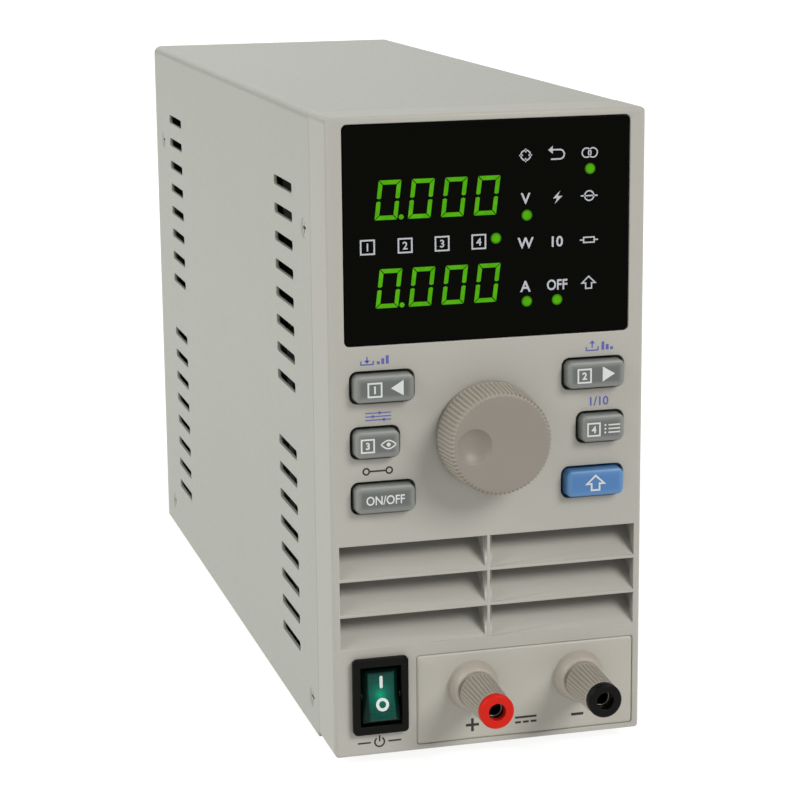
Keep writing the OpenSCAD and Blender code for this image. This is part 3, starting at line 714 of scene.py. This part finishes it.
# ------------------------------------------------------------- terminal plate
POSTS = {"pos": -4.65, "neg": 26.15}
PZ = 17.5
PLATE = (10.65, 14.75)
bm = bmesh.new()
rows = []
for w, h, r, y in ((62.9, 25.5, 0.8, 1.5), (63.26, 25.86, 0.9, 1.3), (63.26, 25.86, 0.9, 0.46), (62.86, 25.46, 0.74, 0.28),
                   (62.46, 25.06, 0.58, 0.13), (62.06, 24.66, 0.44, 0.035), (61.7, 24.3, 0.34, 0.0)):
    rows.append([P(PLATE[0] + x, y, PLATE[1] + z) for x, z in rr(w, h, r)])
rows = loft(bm, rows, False, False)
holes = []
for x in POSTS.values():
    pair = [[bm.verts.new(P(x + 4.1 * math.cos(2 * PI * i / 64), y, PZ + 4.1 * math.sin(2 * PI * i / 64))) for i in range(64)]
            for y in (1.5, 0.0)]
    for i in range(64):
        j = (i + 1) % 64
        bm.faces.new((pair[0][i], pair[0][j], pair[1][j], pair[1][i]))
    holes.append(pair)
fill(bm, rows[0], *[h[0] for h in holes])
fill(bm, rows[-1], *[h[1] for h in holes])
piece("terminal_plate_finish", bm, "plate", "case", ("terminal_plate",), angle=40)

# ---------------------------------------------------------------------- keys
KX, KXS, KW, KS, KH = 29.85, 31.95, 16.6, 12.4, 7.5
ROWS = (104.25, 89.05, 73.75)
KEYS = {
    "key_left": (-KX, ROWS[0], KW, "left_key"), "key_right": (KX, ROWS[0], KW, "right_key"),
    "key_view": (-KXS, ROWS[1], KS, "view_key"), "key_mode": (KXS, ROWS[1], KS, "mode_key"),
    "key_on_off": (-KX, ROWS[2], KW, "on_off_key"), "key_shift": (KX, ROWS[2], KW, "shift_key"),
}


KEY_TOP = -2.96


def key_mesh(cx, cz, w):
    """Moulded key: stem, flange, straight walls and a broad soft edge round a flat face."""
    bm = bmesh.new()
    lay = bm.verts.layers.float.new("edge")
    rings, edge = [], []

    def ring(inset, r, y, e=0.0):
        rings.append([P(cx + x, y, cz + z) for x, z in rr(w - 2 * inset, KH - 2 * inset, r)])
        edge.append(e)

    for ww, r, y in ((2.6, 1.3, 10.3), (3.2, 1.6, 10.0), (3.2, 1.6, 4.5)):
        rings.append([P(cx + x, y, cz + z) for x, z in rr(ww, ww, r)])
        edge.append(0.0)
    ring(-1.25, 2.25, 4.5)
    ring(-1.4, 2.4, 4.35)
    ring(-1.4, 2.4, 3.45)
    ring(-1.25, 2.25, 3.3)
    ring(0.0, 1.7, 3.3)
    # From here the last value of each ring is the edge layer for the painted highlight: highest on the wall and the
    # rounded rim, low on the flat face.
    ring(0.0, 1.7, 0.3, 0.2)
    ring(0.05, 1.68, -1.2, 0.7)
    ring(0.08, 1.66, -2.3, 1.0)
    for k in range(1, 9):
        t = math.radians(90 * k / 8)
        inset = 0.08 + 1.2 * (1 - math.cos(t))
        ring(inset, max(0.55, 1.66 - 0.8 * inset), -2.3 + (KEY_TOP + 2.3) * math.sin(t), min(1.0, 1.25 - 0.55 * inset))
    ring(1.6, 0.5, KEY_TOP, 0.25)
    ring(2.1, 0.4, KEY_TOP, 0.0)
    vs = loft(bm, rings)
    for row, e in zip(vs, edge):
        for v in row:
            v[lay] = e
    return bm


for node, (cx, cz, w, body) in KEYS.items():
    slot = "key_blue" if node == "key_shift" else "key_grey"
    piece(node + "_cap", key_mesh(cx, cz, w), slot, body, (node,), angle=40)


def on_key(cx, cz, w):
    return lambda x, z, d: P(x, KEY_TOP - 0.03 + 0.06 * d, z)


def key_ink(node):
    cx, cz, w, body = KEYS[node]
    return Ink(on_key(cx, cz, w)), cx, cz, body


ink, cx, cz, body = key_ink("key_left")
ink.box(cx - 2.7, cz - 0.2, 4.1, 0.46)
ink.text("1", cx - 2.7, cz - 0.2, 2.1, 0.03)
ink.poly([(cx + 1.7, cz + 0.05), (cx + 5.2, cz - 2.05), (cx + 5.2, cz + 2.15)])
ink.done("key_left_print", "ink_key", body)
ink, cx, cz, body = key_ink("key_right")
ink.box(cx - 3.4, cz - 0.2, 4.1, 0.46)
ink.text("2", cx - 3.4, cz - 0.2, 2.1, 0.03)
ink.poly([(cx + 5.3, cz + 0.05), (cx + 1.8, cz + 2.15), (cx + 1.8, cz - 2.05)])
ink.done("key_right_print", "ink_key", body)
ink, cx, cz, body = key_ink("key_view")
ink.box(cx - 2.75, cz - 0.2, 3.9, 0.44)
ink.text("3", cx - 2.75, cz - 0.2, 2.0, 0.03)
# eye
for s in (1, -1):
    ink.stroke([(cx + 0.9 + 4.2 * t, cz - 0.1 + s * 1.15 * math.sin(PI * t)) for t in [i / 12 for i in range(13)]], 0.36)
ink.disc(cx + 3.0, cz - 0.1, 0.55)
ink.done("key_view_print", "ink_key", body)
ink, cx, cz, body = key_ink("key_mode")
ink.box(cx - 2.7, cz - 0.2, 3.9, 0.44)
ink.text("4", cx - 2.7, cz - 0.2, 2.0, 0.03)
for k in (-1, 0, 1):
    ink.disc(cx + 0.6, cz - 0.15 + 1.05 * k, 0.28, 14)
    ink.rect(cx + 1.5, cz - 0.34 + 1.05 * k, cx + 4.9, cz + 0.04 + 1.05 * k)
ink.done("key_mode_print", "ink_key", body)
ink, cx, cz, body = key_ink("key_on_off")
ink.text("ON/OFF", cx - 0.1, cz - 0.1, 2.5, 0.012, 0.86)
ink.done("key_on_off_print", "ink_key", body)
ink, cx, cz, body = key_ink("key_shift")
ink.stroke([(cx, cz + 2.1), (cx - 2.5, cz - 0.2), (cx - 1.15, cz - 0.2), (cx - 1.15, cz - 2.0),
            (cx + 1.15, cz - 2.0), (cx + 1.15, cz - 0.2), (cx + 2.5, cz - 0.2)], 0.5, True)
ink.done("key_shift_print", "ink_key", body)

# ---------------------------------------------------------------------- knob
KZ = 89.0
RIBS, PER = 72, 12
GROOVE = 0.30


def rib(a):
    """0 on the rounded land of a rib, 1 in the groove beside it."""
    u = abs((a * RIBS / (2 * PI)) % 1.0 - 0.5) * 2.0
    t = max(0.0, min(1.0, (0.80 - u) / 0.5))
    return t * t * (3 - 2 * t)


side = [(14.75, -0.8, 0.0), (15.0, -1.0, 0.0), (15.0, -1.6, 0.0), (14.97, -1.85, 1.0),
        (14.6, -6.5, 1.0), (14.25, -11.0, 1.0), (14.05, -11.45, 1.0), (13.75, -11.78, 1.0),
        (13.42, -11.95, 0.9), (13.2, -12.0, 0.6), (12.75, -12.0, 0.0)]
bm = bmesh.new()
lay = bm.verts.layers.float.new("edge")
n = RIBS * PER
rings = []
for r, y, k in side:
    rings.append([bm.verts.new(P((r - GROOVE * k * rib(2 * PI * i / n)) * math.cos(2 * PI * i / n), y,
                                 KZ + (r - GROOVE * k * rib(2 * PI * i / n)) * math.sin(2 * PI * i / n)))
                  for i in range(n)])
    # Edge layer for the painted highlight: high on the rib lands along the side, lower near the front rim, low in the
    # grooves.
    if k >= 0.9:
        for i, v in enumerate(rings[-1]):
            v[lay] = (1.0 if y > -11.2 else 0.35) * (1.0 - 0.8 * rib(2 * PI * i / n))
for a, b in zip(rings, rings[1:]):
    for i in range(n):
        j = (i + 1) % n
        bm.faces.new((a[i], a[j], b[j], b[i]))
# bore from the back
bore = []
for r, y in ((3.0, -0.8), (3.0, -9.0)):
    bore.append([bm.verts.new(P(r * math.cos(2 * PI * i / 48), y, KZ + r * math.sin(2 * PI * i / 48))) for i in range(48)])
for i in range(48):
    j = (i + 1) % 48
    bm.faces.new((bore[0][i], bore[0][j], bore[1][j], bore[1][i]))
bm.faces.new(bore[1])


fill(bm, rings[0], bore[0])
# finger dimple: a shallow bowl with a soft lip
dx, dz, nd = -7.5, 88.8, 96
bowl = []
for r, y in ((4.98, -12.0), (4.92, -11.99), (4.85, -11.95), (4.74, -11.86), (4.5, -11.63), (4.1, -11.32),
             (3.5, -10.94), (2.8, -10.60), (2.0, -10.31), (1.0, -10.11)):
    bowl.append([bm.verts.new(P(dx + r * math.cos(2 * PI * i / nd), y, dz + r * math.sin(2 * PI * i / nd))) for i in range(nd)])
for a, b in zip(bowl, bowl[1:]):
    for i in range(nd):
        j = (i + 1) % nd
        bm.faces.new((a[i], a[j], b[j], b[i]))
mid = bm.verts.new(P(dx, -10.04, dz))
for i in range(nd):
    bm.faces.new((bowl[-1][i], bowl[-1][(i + 1) % nd], mid))
fill(bm, rings[-1], bowl[0])
piece("control_knob_grip", bm, "knob", "knob", ("control_knob",), angle=32)

# -------------------------------------------------------------------- rocker
TILT = math.radians(-10.5)


def rocker_at(x, y, z):
    """Point of the rocker given before it is tipped, from its pivot."""
    return P(SW[0] + x, y * math.cos(TILT) - z * math.sin(TILT), SW[1] + y * math.sin(TILT) + z * math.cos(TILT))


def crest(z):
    """Front of the lens along its middle, as y: two flats with a soft valley, rolled off at the ends."""
    a = abs(z)
    y = -1.9 - 0.78 / 6.1 * (math.sqrt(a * a + 0.36) - 0.6)
    for z0, y0, z1, y1 in ((6.1, -2.62, 6.5, -2.62), (6.5, -2.62, 6.75, -2.42), (6.75, -2.42, 7.05, -1.85),
                           (7.05, -1.85, 7.4, -1.1), (7.4, -1.1, 7.6, -0.55)):
        if z0 <= a <= z1 + 1e-9:
            y = y0 + (y1 - y0) * (a - z0) / (z1 - z0)
    return y


def lens_ring(z):
    a = abs(z)
    yf = crest(z)
    yb = 0.2 - 0.7 * a / 7.6
    back = 5.0 if a <= 4.0 else (5.0 - 3.6 * (a - 4.0) / 3.3 if a <= 7.3 else 1.4 - 1.2 * (a - 7.3) / 0.3)
    xf = 3.65 if a <= 6.5 else 3.65 + 1.6 * (a - 6.5) / 1.1
    xb = 5.4 if a <= 7.35 else 5.4 - 0.25 * (a - 7.35) / 0.25
    xf = min(xf, xb - 0.05)
    pts = [(-xb, back), (-xb, yb), (-xf, yf), (xf, yf), (xb, yb), (xb, back)]
    return round_path(pts, [0.1, 0.25, 0.5, 0.5, 0.25, 0.1], 5)


bm = bmesh.new()
lay = bm.verts.layers.float.new("edge")
zs = [-7.6, -7.4, -7.05, -6.75, -6.5, -6.1] + [-5.5 + 0.5 * k for k in range(23)] + [6.1, 6.5, 6.75, 7.05, 7.4, 7.6]
loft(bm, [[rocker_at(x, y, z) for x, y in lens_ring(z)] for z in zs])
# Edge layer, 1 on the flanks and ends: there it paints shade into the base colour and dims the lamp glow.
for v in bm.verts:
    up = v.co.z / MM - Z0 - SW[1]
    v[lay] = max(0.0, min(1.0, max((abs(v.co.x / MM - SW[0]) - 3.5) / 0.35, (abs(up) - 6.35) / 0.3)))
piece("power_rocker_lens", bm, "rocker", "rocker", ("power_rocker",), angle=32)
bm = bmesh.new()
for sgn in (-1, 1):
    loft(bm, [[rocker_at(sgn * x, r * math.cos(2 * PI * i / 24), r * math.sin(2 * PI * i / 24)) for i in range(24)]
              for x, r in ((5.2, 1.2), (6.0, 1.2), (6.15, 1.05))])
piece("power_rocker_pins", bm, "switch", "rocker")


def on_rocker(x, z, d):
    """Marks lie on the two flats of the rocker face; z runs along them."""
    return rocker_at(x, crest(z) - 0.035 + 0.07 * d, z)


ink = Ink(on_rocker)
bar = [(0.44 * math.cos(PI * i / 10), 5.1 + 0.44 * math.sin(PI * i / 10)) for i in range(11)]
bar += [(-0.44 * math.cos(PI * i / 10), 2.45 - 0.44 * math.sin(PI * i / 10)) for i in range(11)]
ink.poly(bar)
ink.arc(0.1, -2.5, 1.4, 0.84, n=40)
ink.done("power_rocker_marks", "ink_key", "rocker")

# ------------------------------------------------------------- binding posts
bm = bmesh.new()
for x in POSTS.values():
    lathe(bm, x, PZ, round_path([(3.05, -4.0), (5.6, -4.0), (6.3, -3.3), (6.9, -1.8), (7.25, 0.0), (4.0, 0.0), (4.0, 3.0),
                                 (3.05, 3.0)], [0.1, 0.45, 0.8, 1.2, 0.05, 0.05, 0.1, 0.1], 6), 112)
piece("post_collars_turned", bm, "cap", "case", ("post_collars",))

bm = bmesh.new()
for x in POSTS.values():
    lathe(bm, x, PZ, round_path([(2.0, -19.1), (3.0, -19.1), (3.0, 16.0), (0.0, 16.0), (0.0, 2.6), (2.0, 2.0)],
                                [0.25, 0.3, 0.3, 0.0, 0.0, 0.05], 4), 72)
piece("post_studs_turned", bm, "socket", "case", ("post_studs",))

FLUTES = 30
CAP0, CAP1 = -19.95, -5.55


def flute(r, y, a):
    if r < 4.5 or y < CAP0 - 0.01 or y > CAP1 + 0.01:
        return r
    u = abs((a * FLUTES / (2 * PI)) % 1.0 - 0.5) * 2.0
    d = max(0.0, min(1.0, (0.46 - u) / 0.28))
    ends = min(1.0, (y - CAP0) / 0.4, (CAP1 - y) / 0.3)
    return r - 0.30 * d * max(0.0, ends)


def cap_r(y):
    return 4.8 + 0.6 * (y + 20.3) / 15.4


for key, x in POSTS.items():
    bm = bmesh.new()
    prof = [(3.08, -20.3), (4.62, -20.3), (4.76, -20.22)]
    for y in (CAP0, CAP0 + 0.4, -17.0, -14.0, -11.0, -8.0, CAP1 - 0.3):
        prof.append((cap_r(y), y))
    prof += [(cap_r(CAP1) - 0.02, CAP1), (5.3, -5.4), (5.2, -5.32), (4.45, -5.3), (4.3, -5.2), (4.3, -4.4), (3.08, -4.4)]
    lathe(bm, x, PZ, prof, FLUTES * 12, flute)
    # The fluted caps take the darker copy of the cap plastic: painted shade.
    piece("post_cap_%s_fluted" % key, bm, "cap_plastic_painted_darker", "cap_" + key, ("post_cap_" + key,), angle=30)

    bm = bmesh.new()
    lathe(bm, x, PZ, round_path([(2.4, -22.7), (4.4, -22.7), (4.8, -22.3), (4.8, -20.3), (2.4, -20.3)],
                                [0.22, 0.35, 0.35, 0.12, 0.1], 5), 112)
    piece("post_ring_%s_turned" % key, bm, "ring_red" if key == "pos" else "ring_black", "cap_" + key,
          ("post_ring_" + key,))

    bm = bmesh.new()
    lathe(bm, x, PZ, round_path([(3.1, -4.35), (4.6, -4.35), (4.6, -4.05), (3.1, -4.05)], [0.06, 0.12, 0.12, 0.06], 3), 72)
    piece("clamp_washer_%s_turned" % key, bm, "nickel", "washer_" + key, ("clamp_washer_" + key,))

# ----------------------------------------------------------------- fan rotor
FY, FZ = 252.5, 54.0
bm = bmesh.new()
lathe(bm, 0, FZ, round_path([(0.0, FY - 9.5), (17.0, FY - 9.5), (17.0, FY + 9.7), (1.5, FY + 9.7), (1.5, FY + 12.9), (0.0, FY + 12.9)],
                            [0, 1.2, 0.3, 0, 0.2, 0], 4), 84)
NR, NC = 9, 12
for k in range(7):
    base = 2 * PI * k / 7
    top, bot = [], []
    for i in range(NR + 1):
        r = 16.6 + (37.4 - 16.6) * i / NR
        half = math.radians(25.5 - 4.5 * i / NR)
        rise = 8.6 - 1.2 * i / NR
        rowt, rowb = [], []
        for j in range(NC + 1):
            t = -1 + 2 * j / NC
            a = base + half * t + 0.10 * (i / NR) ** 2
            y = FY + rise * t * (0.86 + 0.14 * t * t) + 1.3 * (1 - t * t)
            th = 0.55 * math.sqrt(max(0.0, 1 - t * t)) + 0.22
            rowt.append(bm.verts.new(P(r * math.cos(a), y + th, FZ - r * math.sin(a))))
            rowb.append(bm.verts.new(P(r * math.cos(a), y - th, FZ - r * math.sin(a))))
        top.append(rowt)
        bot.append(rowb)
    for i in range(NR):
        for j in range(NC):
            bm.faces.new((top[i][j], top[i][j + 1], top[i + 1][j + 1], top[i + 1][j]))
            bm.faces.new((bot[i][j], bot[i + 1][j], bot[i + 1][j + 1], bot[i][j + 1]))
        bm.faces.new((top[i][0], top[i + 1][0], bot[i + 1][0], bot[i][0]))
        bm.faces.new((top[i][NC], bot[i][NC], bot[i + 1][NC], top[i + 1][NC]))
    for i in (0, NR):
        for j in range(NC):
            bm.faces.new((top[i][j], bot[i][j], bot[i][j + 1], top[i][j + 1]))
piece("fan_rotor_blades", bm, "plastic", "fan", ("fan_rotor",), angle=40)

# --------------------------------------------------------- display and legends
WIN = on_face(0.22, 0.28)
DW, DH, DT, SL = 6.2, 10.5, 1.15, 1.3 / 10.5


def digit(ink, x, z, lit):
    g, hm = 0.15, DH / 2
    seg = {
        "a": [(g, DH), (DW - g, DH), (DW - DT - g, DH - DT), (DT + g, DH - DT)],
        "d": [(DT + g, DT), (DW - DT - g, DT), (DW - g, 0), (g, 0)],
        "f": [(0, DH - g), (DT, DH - DT - g), (DT, hm + 0.55), (DT * 0.55, hm + 0.28), (0, hm + 0.5)],
        "e": [(0, hm - 0.5), (DT * 0.55, hm - 0.28), (DT, hm - 0.55), (DT, DT + g), (0, g)],
    }
    for s, o in (("f", "b"), ("e", "c")):
        seg[o] = [(DW - u, v) for u, v in seg[s]][::-1]
    for s in lit:
        ink.poly([(x + u + v * SL, z + v) for u, v in seg[s]])


for row, z in ((1, 149.1), (2, 125.5)):
    ink = Ink(WIN)
    for k in range(4):
        digit(ink, -31.3 + 9.1 * k, z, "abcdef")
    ink.disc(-24.0, z + 0.6, 0.68)
    ink.done("digits_row_%d" % row, "lit_green", "case", "led_green")

LIT = ((28.7, 160.3), (10.9, 148.5), (2.2, 142.7), (10.9, 125.1), (19.5, 125.1))
for k, (x, z) in enumerate(LIT):
    bm = bmesh.new()
    lay = bm.verts.layers.float.new("edge")
    lathe(bm, x, z, [(0.0, 0.20), (0.5, 0.202), (0.9, 0.207), (1.2, 0.216), (1.38, 0.228), (1.5, 0.24), (1.5, 0.28), (0.0, 0.28)], 40)
    for v in bm.verts:
        r = (v.co - P(x, 0, z)).xz.length / MM
        v[lay] = max(0.0, min(1.0, (r - 0.9) / 0.6))
    piece("led_lit_%d" % (k + 1), bm, "lit_green", "case")

ink = Ink(WIN)
for k, x in enumerate((-33.3, -23.0, -12.8, -2.6)):
    ink.box(x, 142.0, 4.1, 0.42)
    ink.text(str(k + 1), x, 142.0, 2.1, 0.02)
C1, C2, C3 = 10.5, 19.5, 28.5
# set point: cross hair in a circle
ink.arc(C1, 164.6, 1.35, 0.36)
for a, b in ((0.75, 0), (-0.75, 0), (0, 0.75), (0, -0.75)):
    s = 2.4
    ink.stroke([(C1 + a * 1.0, 164.6 + b * 1.0), (C1 + a * s, 164.6 + b * s)], 0.36)
# return arrow
ink.arc(C2 + 0.6, 164.5, 1.25, 0.4, -90, 90, 20)
ink.rect(C2 - 1.9, 163.05, C2 + 0.6, 163.45)
ink.rect(C2 - 1.4, 165.55, C2 + 0.6, 165.95)
ink.poly([(C2 - 2.7, 165.75), (C2 - 1.4, 164.7), (C2 - 1.4, 166.8)])
# constant current: two linked rings
ink.arc(C3 - 0.85, 164.6, 1.25, 0.36)
ink.arc(C3 + 0.95, 164.6, 1.25, 0.36)
ink.text("V", C1, 153.0, 3.0, 0.02)
# short circuit: zigzag
ink.poly([(C2 + 0.7, 154.7), (C2 - 1.3, 152.7), (C2 - 0.1, 152.7), (C2 - 0.8, 151.2), (C2 + 1.4, 153.3), (C2 + 0.1, 153.3)])
# constant voltage: ring with a bar through it
ink.arc(C3, 153.0, 1.3, 0.36)
ink.rect(C3 - 2.4, 152.82, C3 + 2.4, 153.18)
ink.text("W", C1, 141.0, 3.0, 0.02)
ink.text("10", C2, 141.0, 2.9, 0.02)
# constant resistance: box with leads
ink.stroke([(C3 - 1.5, 140.3), (C3 + 1.5, 140.3), (C3 + 1.5, 141.7), (C3 - 1.5, 141.7)], 0.36, True)
ink.rect(C3 - 2.6, 140.82, C3 - 1.68, 141.18)
ink.rect(C3 + 1.68, 140.82, C3 + 2.6, 141.18)
ink.text("A", C1, 129.2, 3.0, 0.02)
ink.text("OFF", C2, 129.2, 2.9, 0.02, 0.86)
ink.stroke([(C3, 131.0), (C3 - 1.9, 129.2), (C3 - 0.85, 129.2), (C3 - 0.85, 127.7), (C3 + 0.85, 127.7),
            (C3 + 0.85, 129.2), (C3 + 1.9, 129.2)], 0.36, True)
ink.done("window_legends", "ink_white", "case")

FACE = on_face(-0.03, 0.02)


def tray(ink, x, z, out):
    """Open tray with an arrow into it or out of it."""
    ink.stroke([(x - 1.7, z - 0.2), (x - 1.7, z - 1.2), (x + 1.7, z - 1.2), (x + 1.7, z - 0.2)], 0.36)
    s = 1 if out else -1
    ink.rect(x - 0.18, z - 0.55, x + 0.18, z + 0.9)
    c = z + (1.1 if out else -0.45)
    ink.poly([(x, c + s * 0.45), (x - s * 0.85, c - s * 0.4), (x + s * 0.85, c - s * 0.4)])


ink = Ink(FACE)
tray(ink, -33.9, 111.7, False)
for k in range(3):
    ink.rect(-31.2 + k * 1.25, 110.45, -30.4 + k * 1.25, 110.45 + 0.8 + 0.75 * k)
tray(ink, 29.6, 111.7, True)
for k in range(3):
    ink.rect(32.3 + k * 1.25, 110.45, 33.1 + k * 1.25, 110.45 + 0.8 + 0.75 * (2 - k))
for k in (-1, 0, 1):
    z = 96.2 + 0.95 * k
    c = -31.0 + (1.6, -1.5, 0.4)[k + 1]
    ink.rect(-34.6, z - 0.15, c - 0.42, z + 0.15)
    ink.rect(c + 0.42, z - 0.15, -27.4, z + 0.15)
    ink.disc(c, z, 0.42, 16)
ink.text("1/10", 31.75, 96.2, 2.5, 0.02)
ink.done("panel_legends_blue", "ink_blue", "case")

ink = Ink(FACE)
# closed contact
ink.arc(-34.5, 81.1, 0.85, 0.46, n=24)
ink.arc(-28.1, 81.1, 0.85, 0.46, n=24)
ink.rect(-33.42, 80.87, -29.18, 81.33)
# power symbol between two rules
ink.arc(-31.7, 3.9, 1.35, 0.46, 125, 415, 32)
ink.rect(-31.93, 4.0, -31.47, 5.8)
ink.rect(-37.9, 3.67, -34.2, 4.13)
ink.rect(-29.2, 3.67, -25.5, 4.13)
# polarity and direct current on the terminal plate
ink.rect(-6.8, 5.62, -3.0, 6.38)
ink.rect(-5.28, 4.1, -4.52, 5.62)
ink.rect(-5.28, 6.38, -4.52, 7.9)
ink.rect(24.2, 5.62, 27.8, 6.38)
ink.rect(7.6, 6.45, 13.9, 7.05)
for k in range(3):
    ink.rect(7.6 + 2.3 * k, 5.0, 9.3 + 2.3 * k, 5.6)
ink.done("panel_legends_black", "ink_black", "case")
